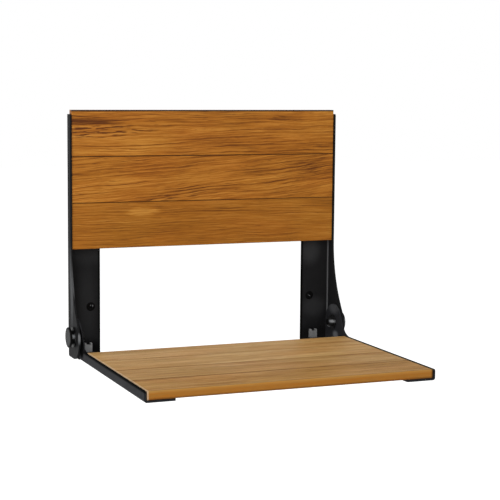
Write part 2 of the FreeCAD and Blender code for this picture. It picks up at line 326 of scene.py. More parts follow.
@cache
def edge_wear_and_shade() -> bpy.types.NodeTree:
    """An edge mask where a finish thins over a sharp edge, broken up by noise: edge wear, and on the powder
    coat painted shade along its edges.

    Returns:
        The group, with outputs Mask and Normal.
    """
    effect = Effect("edge_wear_and_shade", {"Vector": None, "Width": 0.6 * MM, "Breakup": 300.0}, ["Mask"], ["Normal"])
    graph = effect.graph
    soft = graph.add("Bevel", {"Radius": effect.value("Width")}, samples=6)
    flat = graph.add("NewGeometry")
    dot = graph.add("VectorMath", {0: soft.outputs[0], 1: flat.outputs["Normal"]}, operation="DOT_PRODUCT")
    bend = graph.spread(dot.outputs["Value"], 0.995, 0.80)
    rough = graph.noise(effect.value("Vector"), effect.value("Breakup"), 3.0)
    effect.give("Mask", graph.sum("MULTIPLY", bend, graph.spread(rough, 0.35, 0.65)))
    effect.give("Normal", soft.outputs[0])
    return effect.tree


@cache
def dust() -> bpy.types.NodeTree:
    """A thin film and faint smears that shift colour and gloss a little over a whole piece.

    Returns:
        The group, with outputs Film and Smear.
    """
    effect = Effect("dust", {"Vector": None}, ["Film", "Smear"])
    graph = effect.graph
    wide = graph.streaks(effect.value("Vector"), (9.0, 9.0, 5.4), 4.0, 0.6)
    fine = graph.noise(effect.value("Vector"), 140.0, 3.0, 0.6)
    effect.give("Film", graph.sum("MULTIPLY", graph.spread(wide, 0.4, 0.7), graph.spread(fine, 0.3, 0.7)))
    effect.give("Smear", graph.spread(wide, 0.3, 0.7))
    return effect.tree


@cache
def board_grain() -> bpy.types.NodeTree:
    """Grain of one board: growth rings, fine lines, short dashes and pores on one bent, sloping flow.

    Returns:
        The group, with outputs Flow, Rings, Lines, Dashes, Pores, Tone, Warmth and Height.
    """
    effect = Effect("board_grain", {"Vector": None, "Seed": 0.0, "Slope": 0.0, "Wave": 0.02, "Ring": 0.006},
                    ["Rings", "Lines", "Dashes", "Pores", "Tone", "Warmth", "Height"], ["Flow"])
    graph = effect.graph
    seed_step = 7.3
    ripple_m = 9 * MM
    along, across, through = graph.add("SeparateXYZ", {0: effect.value("Vector")}).outputs
    own = graph.sum("MULTIPLY_ADD", effect.value("Seed"), seed_step, along)
    spot = graph.add("CombineXYZ", {0: own, 1: across, 2: through}).outputs[0]
    # The flow is the place across the board, sloped and bent by a slow and a quick wave
    slow = graph.sum("SUBTRACT", graph.streaks(spot, (2.4, 9.0, 9.0)), 0.5)
    quick = graph.sum("SUBTRACT", graph.streaks(spot, (11.0, 40.0, 25.0), 3.0, 0.6), 0.5)
    flow = graph.sum("SUBTRACT", across, graph.sum("MULTIPLY", along, effect.value("Slope")))
    flow = graph.sum("MULTIPLY_ADD", slow, effect.value("Wave"), flow)
    flow = graph.sum("MULTIPLY_ADD", quick, ripple_m, flow)
    effect.give("Flow", graph.add("CombineXYZ", {0: along, 1: flow}).outputs[0])
    deep = graph.sum("MULTIPLY_ADD", through, 0.8, flow)
    layer = graph.add("CombineXYZ", {0: own, 1: deep, 2: effect.value("Seed")}).outputs[0]
    # Each growth ring darkens slowly and ends sharply
    shift = graph.streaks(layer, (3.0, 26.0, 1.0))
    turns = graph.sum("MULTIPLY_ADD", shift, 4.0, graph.sum("DIVIDE", deep, effect.value("Ring")))
    saw = graph.sum("FRACT", turns)
    late = graph.sum("MULTIPLY", graph.spread(saw, 0.62, 0.92), graph.spread(saw, 1.0, 0.95))
    come = graph.spread(graph.streaks(layer, (5.0, 110.0, 1.0), 3.0, 0.6), 0.42, 0.64)
    lines = graph.spread(graph.streaks(layer, (9.0, 430.0, 1.0), 4.0, 0.7), 0.44, 0.60)
    hairs = graph.spread(graph.streaks(layer, (30.0, 1000.0, 1.0)), 0.35, 0.65, 0.0, 0.3)
    pores = graph.spread(graph.streaks(layer, (50.0, 1100.0, 1.0)), 0.58, 0.70)
    effect.give("Rings", graph.sum("MULTIPLY", late, come))
    effect.give("Lines", graph.sum("MULTIPLY_ADD", lines, 0.7, hairs))
    effect.give("Dashes", graph.streaks(layer, (34.0, 420.0, 1.0)))
    effect.give("Pores", pores)
    effect.give("Tone", graph.streaks(layer, (3.0, 40.0, 1.0)))
    effect.give("Warmth", graph.streaks(layer, (7.0, 22.0, 2.0)))
    effect.give("Height", graph.sum("MULTIPLY_ADD", lines, -0.5, graph.sum("MULTIPLY", pores, -1.0)))
    return effect.tree


@cache
def patch() -> bpy.types.NodeTree:
    """A soft oval on a board, drawn out along the grain.

    Returns:
        The group, with output Mask.
    """
    inputs = {"Flow": None, "Along": 0.0, "Across": 0.0, "Reach Along": 0.05, "Reach Across": 0.01}
    effect = Effect("patch", inputs, ["Mask"])
    graph = effect.graph
    parts = graph.add("SeparateXYZ", {0: effect.value("Flow")}).outputs
    shares = []
    for part, way in zip(parts, ("Along", "Across")):
        away = graph.sum("SUBTRACT", part, effect.value(way))
        shares.append(graph.sum("DIVIDE", away, effect.value(f"Reach {way}")))
    effect.give("Mask", graph.fade(graph.distance(*shares), 0.3))
    return effect.tree


@cache
def rub() -> bpy.types.NodeTree:
    """A soft ellipsoid in space, where painted light, highlight and shade alike, is laid on a surface.

    Returns:
        The group, with output Mask.
    """
    effect = Effect("rub", {"Vector": None, "Centre": None, "Reach": None, "Core": 0.25}, ["Mask"])
    graph = effect.graph
    ends = {0: effect.value("Vector"), 1: effect.value("Centre")}
    away = graph.add("VectorMath", ends, operation="SUBTRACT")
    share = graph.add("VectorMath", {0: away.outputs[0], 1: effect.value("Reach")}, operation="DIVIDE")
    far = graph.add("VectorMath", {0: share.outputs[0]}, operation="LENGTH")
    effect.give("Mask", graph.fade(far.outputs["Value"], effect.value("Core")))
    return effect.tree


@cache
def screw_heads() -> bpy.types.NodeTree:
    """Three flush screw heads in the wall side of a plate, one above another, each with a six-lobed recess.

    Returns:
        The group, with outputs Head and Recess.
    """
    inputs = {"Vector": None, "Across": 0.2, "Lowest": 0.1, "Pitch": 0.07, "Radius": 4 * MM}
    effect = Effect("screw_heads", inputs, ["Head", "Recess"])
    graph = effect.graph
    top_step = 2.0
    lobes = 6.0
    along, depth, height = graph.add("SeparateXYZ", {0: effect.value("Vector")}).outputs
    aside = graph.sum("SUBTRACT", graph.sum("ABSOLUTE", along), effect.value("Across"))
    climb = graph.sum("SUBTRACT", height, effect.value("Lowest"))
    step = graph.sum("ROUND", graph.sum("DIVIDE", climb, effect.value("Pitch")))
    step = graph.sum("MINIMUM", graph.sum("MAXIMUM", step, 0.0), top_step)
    climb = graph.sum("SUBTRACT", climb, graph.sum("MULTIPLY", step, effect.value("Pitch")))
    share = graph.sum("DIVIDE", graph.distance(aside, climb), effect.value("Radius"))
    turn = graph.sum("COSINE", graph.sum("MULTIPLY", graph.sum("ARCTAN2", climb, aside), lobes))
    lobe = graph.sum("MULTIPLY_ADD", turn, 0.07, 0.42)
    wall_side = graph.spread(depth, -0.3 * MM, -0.1 * MM)
    recess = graph.spread(graph.sum("SUBTRACT", share, lobe), 0.03, -0.03)
    effect.give("Head", graph.sum("MULTIPLY", graph.spread(share, 1.0, 0.94), wall_side))
    effect.give("Recess", graph.sum("MULTIPLY", recess, wall_side))
    return effect.tree


@dataclass(frozen=True)
class Rub:
    """A place where a painted highlight (strength over 0) or a painted shade (strength under 0) is laid on a
    finish.

    The core is the share of the reach that has the full strength.
    """

    centre_mm: Triple
    reach_mm: Triple
    strength: float
    core: float = 0.25


class Surface:
    """A material in the making: a Principled shader, object coordinates, an edge mask for edge wear and
    painted edge shade, and a thin film.
    """

    # Tints of the painted highlights and the painted shade laid on in places
    painted_highlight_tint: Colour = linear(150, 152, 155)
    painted_shade_tint: Colour = linear(3, 3, 3)

    def __init__(self, name: str, edge_mm: float, breakup: float) -> None:
        """Starts the material.

        Args:
            name: its name.
            edge_mm: width of its edge mask.
            breakup: lumps per metre of the noise that breaks them up.
        """
        self.material = bpy.data.materials.new(name)
        self.graph = Graph.on(self.material)
        self.shader = self.graph.add("BsdfPrincipled")
        self.graph.add("OutputMaterial", {0: self.shader.outputs[0]})
        self.where = self.graph.add("TexCoord").outputs["Object"]
        place = {"Vector": self.where}
        wear_and_painted_light = place | {"Width": edge_mm * MM, "Breakup": breakup}
        self.wear_and_edge_shade = self.graph.group(edge_wear_and_shade(), wear_and_painted_light).outputs
        self.film = self.graph.group(dust(), place).outputs

    def with_painted_light(self, colour: Socket, rough: Socket, painted_lights: Sequence[Rub]) -> tuple[Socket, Socket]:
        """A colour and a roughness with painted highlights and painted shade laid on; where painted shade is
        laid, the roughness is also raised.

        Args:
            colour: the colour so far.
            rough: the roughness so far.
            painted_lights: the places, each a painted highlight or a painted shade.

        Returns:
            The colour and the roughness.
        """
        graph = self.graph
        for spot in painted_lights:
            centre, reach = ([size * MM for size in sizes] for sizes in (spot.centre_mm, spot.reach_mm))
            oval = graph.group(rub(), {"Vector": self.where, "Centre": centre, "Reach": reach,
                                       "Core": spot.core}).outputs[0]
            tint = self.painted_highlight_tint if spot.strength > 0 else self.painted_shade_tint
            colour = graph.mix(graph.sum("MULTIPLY", oval, abs(spot.strength)), colour, tint)
            if spot.strength < 0:
                rough = graph.sum("MAXIMUM", rough, graph.sum("MULTIPLY", oval, -spot.strength))
        return colour, rough

    def close(self, colour: Socket, rough: Socket, height: Socket, strength: float, depth_mm: float,
              specular: float = 0.5) -> bpy.types.Material:
        """Feeds the shader, with a bump over the softened edges.

        Args:
            colour: the base colour.
            rough: the roughness.
            height: the relief.
            strength: share of the relief.
            depth_mm: its full depth.
            specular: strength of the reflection.

        Returns:
            The material.
        """
        relief = {"Height": height, "Strength": strength, "Distance": depth_mm * MM,
                  "Normal": self.wear_and_edge_shade["Normal"]}
        bump = self.graph.add("Bump", relief).outputs[0]
        for name, value in (("Base Color", colour), ("Roughness", rough), ("Normal", bump)):
            self.graph.feed(self.shader.inputs[name], value)
        self.shader.inputs["Specular IOR Level"].default_value = specular
        return self.material


class Finish:
    """A finish that makes one material."""

    name: str

    def material(self) -> bpy.types.Material:
        """The finished material."""
        raise NotImplementedError


@dataclass(frozen=True)
class Palette:
    """The colours of a teak board: late wood, body, palest streaks, sawn edges and an open edge."""

    dark: Colour
    body: Colour
    pale: Colour
    edge: Colour
    face: Optional[Colour] = None


@dataclass(frozen=True)
class Figure:
    """A place on a board where the grain is darker, paler or broken into dark dashes."""

    along_mm: float
    across_mm: float
    reach_mm: float
    width_mm: float
    shade: float = 0.0
    dashes: float = 0.0


@dataclass(frozen=True)
class Teak(Finish):
    """One oiled teak board, lying along X.

    The open side is the sign, across the board, of the edge that meets no other board. The left end gets a
    painted highlight, and the right end a painted shadow where it meets the arm; two shares set how strong
    they are.
    """

    name: str
    lie: Lie
    middle_m: float
    half_m: float
    end_m: float
    seed: float
    palette: Palette
    slope: float = 0.0
    wave: float = 0.02
    ring_m: float = 0.006
    contrast: float = 1.0
    tone: float = 0.0
    warm: float = 0.5
    roughness: float = 0.45
    specular: float = 0.15
    wear_and_painted_light: float = 0.0
    right_end_shade: float = 0.0
    open_side: int = -1
    sides: float = 0.8
    rim_m: float = 1.3 * MM
    open_rim_m: float = 1.3 * MM
    figures: tuple[Figure, ...] = ()
    # Colours of the painted highlight on the left end and the painted shadow on the right end
    painted_highlight_colour: Colour = linear(214, 190, 160)
    painted_shadow_colour: Colour = linear(30, 20, 10)
    ruddy: Colour = (1.0, 0.86, 0.78)

    def material(self) -> bpy.types.Material:
        """Teak with rings, streaks, pores and its own figure.

        Returns:
            The material.
        """
        surface = Surface(self.name, 0.8, 90.0)
        graph = surface.graph
        parts = graph.add("SeparateXYZ", {0: surface.where}).outputs
        across, through = (parts[axis] for axis in self.lie.value)
        across = graph.sum("SUBTRACT", across, self.middle_m)
        spot = graph.add("CombineXYZ", {0: parts["X"], 1: across, 2: through}).outputs[0]
        grain = graph.group(board_grain(), {"Vector": spot, "Seed": self.seed, "Slope": self.slope,
                                            "Wave": self.wave, "Ring": self.ring_m}).outputs
        colour = self.figured(graph, grain)
        colour = self.sawn(graph, grain, colour, across, through)
        colour = graph.mix(graph.sum("MULTIPLY", surface.wear_and_edge_shade["Mask"], 0.15), colour, self.palette.pale)
        colour = self.ended(graph, colour, parts["X"])
        gloss = graph.spread(grain["Tone"], 0.3, 0.7, self.roughness + 0.05, self.roughness - 0.04)
        rough = graph.sum("ADD", gloss, graph.sum("MULTIPLY", surface.film["Smear"], 0.06))
        return surface.close(colour, rough, grain["Height"], 0.35, 0.25, self.specular)

    def figured(self, graph: Graph, grain: bpy.types.NodeOutputs) -> Socket:
        """The colour of the face.

        Args:
            graph: the material's graph.
            grain: outputs of the grain.

        Returns:
            The colour.
        """
        wood = self.palette
        even = 0.5 + 0.30 * self.contrast + self.tone
        share = graph.sum("MULTIPLY_ADD", grain["Lines"], -0.62 * self.contrast, even)
        share = graph.sum("MULTIPLY_ADD", grain["Rings"], -0.55 * self.contrast, share)
        tone = graph.sum("SUBTRACT", grain["Tone"], 0.5)
        share = graph.sum("MULTIPLY_ADD", tone, 0.8 * self.contrast, share)
        dark = graph.sum("MULTIPLY_ADD", graph.spread(grain["Dashes"], 0.64, 0.72), 0.6 * self.contrast,
                         graph.sum("MULTIPLY", grain["Pores"], 0.30))
        dashes = graph.spread(grain["Dashes"], 0.52, 0.60)
        for figure in self.figures:
            oval = graph.group(patch(), {
                "Flow": grain["Flow"], "Along": figure.along_mm * MM, "Across": figure.across_mm * MM,
                "Reach Along": figure.reach_mm * MM, "Reach Across": figure.width_mm * MM}).outputs[0]
            share = graph.sum("MULTIPLY_ADD", oval, figure.shade, share)
            dark = graph.sum("MULTIPLY_ADD", graph.sum("MULTIPLY", oval, dashes), figure.dashes, dark)
        colour = graph.ramp(share, [(0.0, wood.dark), (0.5, wood.body), (1.0, wood.pale)])
        colour = graph.mix(graph.spread(dark, 0.0, 1.0), colour, wood.dark)
        warmth = graph.spread(grain["Warmth"], 0.40, 0.66, 0.0, self.warm)
        return graph.mix(warmth, colour, self.ruddy, "MULTIPLY")

    def sawn(self, graph: Graph, grain: bpy.types.NodeOutputs, colour: Socket, across: Socket,
             through: Socket) -> Socket:
        """The colour with darker edges along the board, and with its open edge.

        Args:
            graph: the material's graph.
            grain: outputs of the grain.
            colour: the colour so far.
            across: the place across the board, from its middle.
            through: the place through the board's thickness.

        Returns:
            The colour.
        """
        rim = self.rim(graph, graph.sum("ABSOLUTE", across), self.rim_m)
        uneven = graph.spread(grain["Tone"], 0.35, 0.55, self.sides - 0.2, self.sides + 0.15)
        colour = graph.mix(graph.sum("MULTIPLY", rim, uneven), colour, self.palette.edge)
        if self.palette.face:
            rim = self.rim(graph, graph.sum("MULTIPLY", across, self.open_side), self.open_rim_m)
            colour = graph.mix(rim, colour, self.open_edge(graph, grain["Lines"], through))
        return colour

    def rim(self, graph: Graph, out: Socket, width_m: float) -> Socket:
        """A mask of the strip along an edge, from the place outward of the board's middle."""
        return graph.spread(out, self.half_m - width_m, self.half_m - 0.4 * width_m)

    def ended(self, graph: Graph, colour: Socket, along: Socket) -> Socket:
        """The colour with a painted highlight on the left end and a painted shadow on the right end.

        Args:
            graph: the material's graph.
            colour: the colour so far.
            along: the place along the board.

        Returns:
            The colour.
        """
        full_m = self.end_m - 1.4 * MM
        left = graph.spread(graph.sum("MULTIPLY", along, -1.0), self.end_m - 2.6 * MM, full_m)
        colour = graph.mix(graph.sum("MULTIPLY", left, self.wear_and_painted_light), colour, self.painted_highlight_colour)
        right = graph.spread(along, self.end_m - 3.2 * MM, full_m)
        return graph.mix(graph.sum("MULTIPLY", right, self.right_end_shade), colour, self.painted_shadow_colour)

    def open_edge(self, graph: Graph, lines: Socket, through: Socket) -> Socket:
        """The colour of the edge that meets no other board.

        Args:
            graph: the material's graph.
            lines: the grain's fine lines.
            through: the place through the board's thickness.

        Returns:
            The colour.
        """
        wood = self.palette
        if self.lie is Lie.BACK:
            top = graph.mix(graph.sum("MULTIPLY", lines, 0.6), wood.body, wood.edge)
            behind = graph.spread(through, (BACK_FRONT_MM + 0.5) * MM, (BACK_FRONT_MM + 2.5) * MM)
            return graph.mix(behind, wood.face, top)
        # The seat's front face: painted shade along its lower edge and painted light towards its top
        above = graph.spread(through, (SEAT_UNDER_MM + 0.4) * MM, (SEAT_UNDER_MM + 3.4) * MM)
        upper = graph.spread(through, (SEAT_TOP_MM - 5.0) * MM, (SEAT_TOP_MM - 0.5) * MM)
        front = graph.mix(upper, graph.mix(above, wood.dark, wood.face), wood.body)
        return graph.mix(graph.sum("MULTIPLY", lines, 0.5), front, wood.pale, "SOFT_LIGHT")


@dataclass(frozen=True)
class PowderCoat(Finish):
    """Satin black powder coat on sheet steel. Its edge colour is painted shade along the sharp edges and in
    the screw recesses.

    The screws are flush heads in the wall side: how far they are either side of the middle, the height of the
    lowest one and the pitch between them.
    """

    name: str
    colour: Colour
    bare: Colour
    edge: Colour
    roughness: float
    specular: float
    peel: float = 0.12
    painted_lights: tuple[Rub, ...] = ()
    screws_mm: Optional[Triple] = None
    head_dull: Colour = linear(120, 120, 120)
    head_bright: Colour = linear(180, 180, 178)

    def material(self) -> bpy.types.Material:
        """Coated steel with fine peel, painted shade on its edges, painted highlights and shade in places,
        and a faint film.

        Returns:
            The material.
        """
        surface = Surface(self.name, 0.5, 260.0)
        graph, film = surface.graph, surface.film
        speck = graph.noise(surface.where, 1700.0)
        colour = graph.mix(graph.spread(speck, 0.35, 0.7, 0.0, 0.5), self.colour, self.bare)
        colour = graph.mix(graph.sum("MULTIPLY", film["Film"], 0.25), colour, self.bare)
        # Painted shade along the sharp edges, as dark outlines
        colour = graph.mix(graph.sum("MULTIPLY", surface.wear_and_edge_shade["Mask"], 0.85), colour, self.edge)
        rough = graph.spread(film["Smear"], 0.0, 1.0, self.roughness - 0.04, self.roughness + 0.07)
        colour, rough = surface.with_painted_light(colour, rough, self.painted_lights)
        if self.screws_mm:
            across, lowest, pitch = (size * MM for size in self.screws_mm)
            screws = graph.group(screw_heads(), {"Vector": surface.where, "Across": across,
                                                 "Lowest": lowest, "Pitch": pitch}).outputs
            steel = graph.mix(speck, self.head_dull, self.head_bright)
            colour = graph.mix(screws["Head"], colour, steel)
            # Painted shade in the screw heads' recesses
            colour = graph.mix(screws["Recess"], colour, self.edge)
            graph.feed(surface.shader.inputs["Metallic"], graph.sum("MULTIPLY", screws["Head"], 0.8))
        peel = graph.noise(surface.where, 900.0)
        return surface.close(colour, rough, peel, self.peel, 0.2, self.specular)


@dataclass(frozen=True)
class TurnedSteel(Finish):
    """Steel turned on an axis, blackened or bare."""

    name: str
    colour: Colour
    bare: Colour
    roughness: float
    metallic: float
    specular: float = 0.5
    wear_and_painted_light: float = 0.8
    painted_lights: tuple[Rub, ...] = ()

    def material(self) -> bpy.types.Material:
        """Metal with a fine skin, a second colour on its edges, and painted highlights and shade in places.

        Returns:
            The material.
        """
        surface = Surface(self.name, 0.5, 420.0)
        graph, film = surface.graph, surface.film
        speck = graph.noise(surface.where, 700.0, 3.0, 0.6)
        colour = graph.mix(graph.spread(speck, 0.35, 0.75, 0.0, 0.4), self.colour, self.bare)
        # The second colour on the edges: edge wear, and on the hinge cap, darker, painted shade on its rims
        colour = graph.mix(graph.sum("MULTIPLY", surface.wear_and_edge_shade["Mask"], self.wear_and_painted_light), colour, self.bare)
        rough = graph.spread(film["Smear"], 0.0, 1.0, self.roughness - 0.05, self.roughness + 0.08)
        colour, rough = surface.with_painted_light(colour, rough, self.painted_lights)
        surface.shader.inputs["Metallic"].default_value = self.metallic
        return surface.close(colour, rough, speck, 0.12, 0.05, self.specular)


@dataclass(frozen=True)
class Moulded(Finish):
    """A moulded plastic or rubber."""

    name: str
    colour: Colour
    pale: Colour
    roughness: float

    def material(self) -> bpy.types.Material:
        """Moulding with a fine mottled skin.

        Returns:
            The material.
        """
        surface = Surface(self.name, 0.6, 200.0)
        graph, film = surface.graph, surface.film
        mottle = graph.noise(surface.where, 260.0, 4.0, 0.6)
        colour = graph.mix(graph.spread(mottle, 0.3, 0.7, 0.0, 0.5), self.colour, self.pale)
        colour = graph.mix(graph.sum("MULTIPLY", surface.wear_and_edge_shade["Mask"], 0.4), colour, self.pale)
        rough = graph.spread(film["Smear"], 0.0, 1.0, self.roughness - 0.05, self.roughness + 0.1)
        return surface.close(colour, rough, mottle, 0.15, 0.1)


def dress(node: str, material: bpy.types.Material) -> None:
    """Gives a CAD piece one material.

    Args:
        node: the piece's name.
        material: its finish.
    """
    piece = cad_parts[node]
    piece.data.materials.clear()
    piece.data.materials.append(material)
    log.info("%s is finished in %s", node, material.name)


@dataclass
class Boards:
    """The backrest's and the seat's teak boards."""

    back_low_m: float = 97 * MM
    back_pitch_m: float = BACK_PITCH_MM * MM
    back_end_m: float = 231.5 * MM
    seat_end_m: float = 226.7 * MM
    seat_front_m: float = SEAT_FRONT_MM * MM
    seat_pitch_m: float = SEAT_PITCH_MM * MM
    back_palette: Palette = Palette(
        dark=linear(92, 48, 10), body=linear(162, 99, 26), pale=linear(198, 136, 54),
        edge=linear(84, 46, 14))
    plain_palette: Palette = Palette(
        dark=linear(108, 62, 14), body=linear(158, 98, 24), pale=linear(188, 130, 52),
        edge=linear(92, 54, 16))
    front_palette: Palette = Palette(
        dark=linear(108, 70, 30), body=linear(172, 130, 70), pale=linear(206, 168, 108),
        edge=linear(62, 35, 12), face=linear(158, 107, 45))
    seat_palette: Palette = Palette(
        dark=linear(112, 74, 36), body=linear(176, 138, 82), pale=linear(212, 178, 122),
        edge=linear(88, 54, 20))
    top_edge: Colour = linear(50, 30, 16)

    def back(self) -> dict[str, Teak]:
        """Finishes of the backrest's boards, from the bottom.

        Returns:
            Each board's finish by its node.
        """
        boards = {
            "back_slat_bottom": dict(
                palette=self.plain_palette, contrast=0.85, ring_m=4 * MM, sides=0.55, seed=2.0,
                figures=(Figure(-112, 23, 38, 9, shade=0.62),)),
            "back_slat_middle": dict(
                palette=self.back_palette, slope=0.09, ring_m=5.5 * MM, seed=5.0,
                figures=(Figure(-60, -22, 70, 9, dashes=0.9),
                         Figure(190, 0, 60, 24, shade=-0.12, dashes=0.5),
                         Figure(-180, 0, 120, 40, shade=0.10))),
            "back_slat_top": dict(
                palette=replace(self.back_palette, face=self.top_edge), slope=0.02, contrast=0.95,
                ring_m=5.5 * MM, open_side=1, open_rim_m=3.4 * MM, seed=9.0,
                figures=(Figure(-210, 23, 80, 9, shade=-0.5, dashes=0.5),
                         Figure(-180, 7, 110, 12, dashes=1.6),
                         Figure(130, 20, 60, 9, dashes=1.0),
                         Figure(-160, -20, 120, 22, shade=0.12))),
        }
        return {
            node: Teak(name=f"{node}_teak", lie=Lie.BACK, half_m=self.back_pitch_m / 2,
                       end_m=self.back_end_m, middle_m=self.back_low_m + (place + 0.5) * self.back_pitch_m,
                       specular=0.13, roughness=0.5, **own)
            for place, (node, own) in enumerate(boards.items())}

    def seat(self) -> dict[str, Teak]:
        """Finishes of the seat's boards, from the front.

        Returns:
            Each board's finish by its node.
        """
        boards = {
            "seat_slat_1": dict(palette=self.front_palette, tone=-0.05, seed=21.0, slope=0.01,
                                sides=0.95, rim_m=2.4 * MM),
            "seat_slat_2": dict(palette=self.seat_palette, tone=-0.06, seed=24.0, slope=-0.02,
                                rim_m=1.8 * MM),
            "seat_slat_3": dict(palette=self.seat_palette, tone=0.06, seed=28.0, slope=0.02),
            "seat_slat_4": dict(palette=self.seat_palette, tone=0.04, seed=31.0),
        }
        # Each seat board has a painted highlight on its left end and a painted shadow on its right end, where
        # it meets the arm
        return {
            node: Teak(name=f"{node}_teak", lie=Lie.SEAT, half_m=self.seat_pitch_m / 2,
                       end_m=self.seat_end_m, middle_m=self.seat_front_m + (place + 0.5) * self.seat_pitch_m,
                       contrast=0.8, warm=0.6, wear_and_painted_light=0.5, right_end_shade=0.85, specular=0.04, roughness=0.5, **own)
            for place, (node, own) in enumerate(boards.items())}

    def dress(self) -> None:
        """Finishes every board."""
        for node, finish in (self.back() | self.seat()).items():
            dress(node, finish.material())


@dataclass
class Steelwork:
    """Wall brackets and seat arms."""

    brackets: PowderCoat = PowderCoat(
        "bracket_steel", linear(23, 23, 24), linear(42, 42, 43), linear(6, 6, 6), 0.48, 0.018,
        screws_mm=(206, 134.5, BACK_PITCH_MM),
        painted_lights=(
            # Painted reflections, lightening the plates' faces
            Rub((197, -3, 80), (26, 4, 34), 0.06), Rub((205, -3, -20), (34, 4, 24), 0.04),
            Rub((-202, -3, 90), (40, 4, 30), 0.03), Rub((-204, -3, 0), (24, 4, 90), 0.035),
            # Painted shade on their inner edges and lower ends, where the roughness is also raised
            Rub((-181, -1, 60), (4.5, 6, 900), -1.0, 0.5), Rub((181, -1, 60), (4.5, 6, 900), -0.95, 0.4),
            Rub((-200, -3, -74), (60, 4, 28), -0.8), Rub((200, -3, -74), (60, 4, 32), -0.6),
            # The left flange: painted shade along its wall edge, and painted highlights along its sweep
            Rub((-235, -1, 100), (3, 11, 500), -0.9, 0.4), Rub((-235, -18, 62), (3, 8, 52), 0.14),
            Rub((-233.5, -26, 25), (7, 11, 75), 0.22),
            # Painted highlights on the right bend, the left bend's foot and the left ear's front
            Rub((231.5, -3.4, 50), (2.2, 2.2, 300), 0.30), Rub((-232, -4, -15), (2.5, 5, 3), 0.5),
            Rub((-235, -66, -40), (6, 5, 13), 0.5),
        ))
    arms: PowderCoat = PowderCoat(
        "arm_steel", linear(31, 31, 33), linear(55, 56, 59), linear(5, 5, 5), 0.48, 0.016,
        painted_lights=(
            # Painted light on the right lobe
            Rub((228, -36, -18), (9, 26, 16), 0.13), Rub((228, -46, -64), (9, 15, 9), 0.38),
            # Painted shade on the right rail's top, the left lobe by the ear, and the left rail's top and
            # bottom
            Rub((229.5, -240, -60), (4, 165, 2), -0.95, 0.8), Rub((-231, -69, -42), (2.5, 17, 40), -1.0, 0.6),
            Rub((-230, -250, -60), (6, 900, 5.5), -0.9), Rub((-230, -250, -77.5), (6, 900, 4.5), -0.9),
        ))

    def dress(self) -> None:
        """Finishes both sides."""
        brackets, arms = self.brackets.material(), self.arms.material()
        for side in Side:
            dress(f"wall_bracket_{side.word}", brackets)
            dress(f"seat_arm_{side.word}", arms)


@dataclass
class Hinges:
    """The turned pieces on the pivot axis."""

    # The cap's second colour is darker: painted shade on its rims; its spots are painted light on the left
    # cap's face and a painted highlight on the right cap's rim
    cap: TurnedSteel = TurnedSteel(
        "hinge_cap", linear(14, 14, 14), linear(6, 6, 6), 0.45, 0.0, 0.018,
        painted_lights=(Rub((-244.4, -35, -43), (2, 15, 15), 0.16, 0.8),
              Rub((242.8, -51, -41), (2.4, 5, 9), 0.55, 0.5)))
    # Painted highlights across the left collar's neck, and faintly on its foot
    black: TurnedSteel = TurnedSteel(
        "hinge_black", linear(5, 5, 5), linear(16, 16, 16), 0.35, 0.0, 0.06, 0.2,
        painted_lights=(Rub((-239, -47, -40), (6, 5, 5), 0.9, 0.4), Rub((-236, -51, -41), (1.6, 6, 14), 0.1)))
    # Painted glints on the nuts and washers
    fasteners: TurnedSteel = TurnedSteel(
        "hinge_fasteners", linear(12, 12, 12), linear(60, 60, 60), 0.4, 0.0, 0.1,
        painted_lights=(Rub((222, -46, -41), (8, 14, 4), 0.85), Rub((222, -36, -51), (8, 5, 4), 0.5),
              Rub((-223, -57, -39), (3, 4, 4), 0.5)))
    bush: Moulded = Moulded("bush_nylon", linear(40, 40, 40), linear(70, 70, 70), 0.5)

    def dress(self) -> None:
        """Finishes both hinges."""
        cap, black, fasteners = self.cap.material(), self.black.material(), self.fasteners.material()
        bush = self.bush.material()
        for side in Side:
            dress(f"hinge_pin_{side.word}", cap)
            dress(f"hinge_collar_{side.word}", black)
            dress(f"hinge_washer_{side.word}", fasteners)
            dress(f"hinge_nut_{side.word}", fasteners)
            dress(f"hinge_bush_{side.word}", bush)


@dataclass
class Bumpers:
    """The two stop bumpers."""

    grey: Moulded = Moulded("bumper_grey", linear(126, 126, 126), linear(166, 166, 166), 0.55)
    # The right one's darker copy of the grey is painted shade
    shaded: Moulded = Moulded("bumper_grey_shaded", linear(102, 102, 102), linear(140, 140, 140), 0.55)

    def dress(self) -> None:
        """Finishes both, the right one darker: painted shade on a copy of the same grey."""
        for side, finish in zip((Side.LEFT, Side.RIGHT), (self.grey, self.shaded)):
            dress(f"stop_bumper_{side.word}", finish.material())


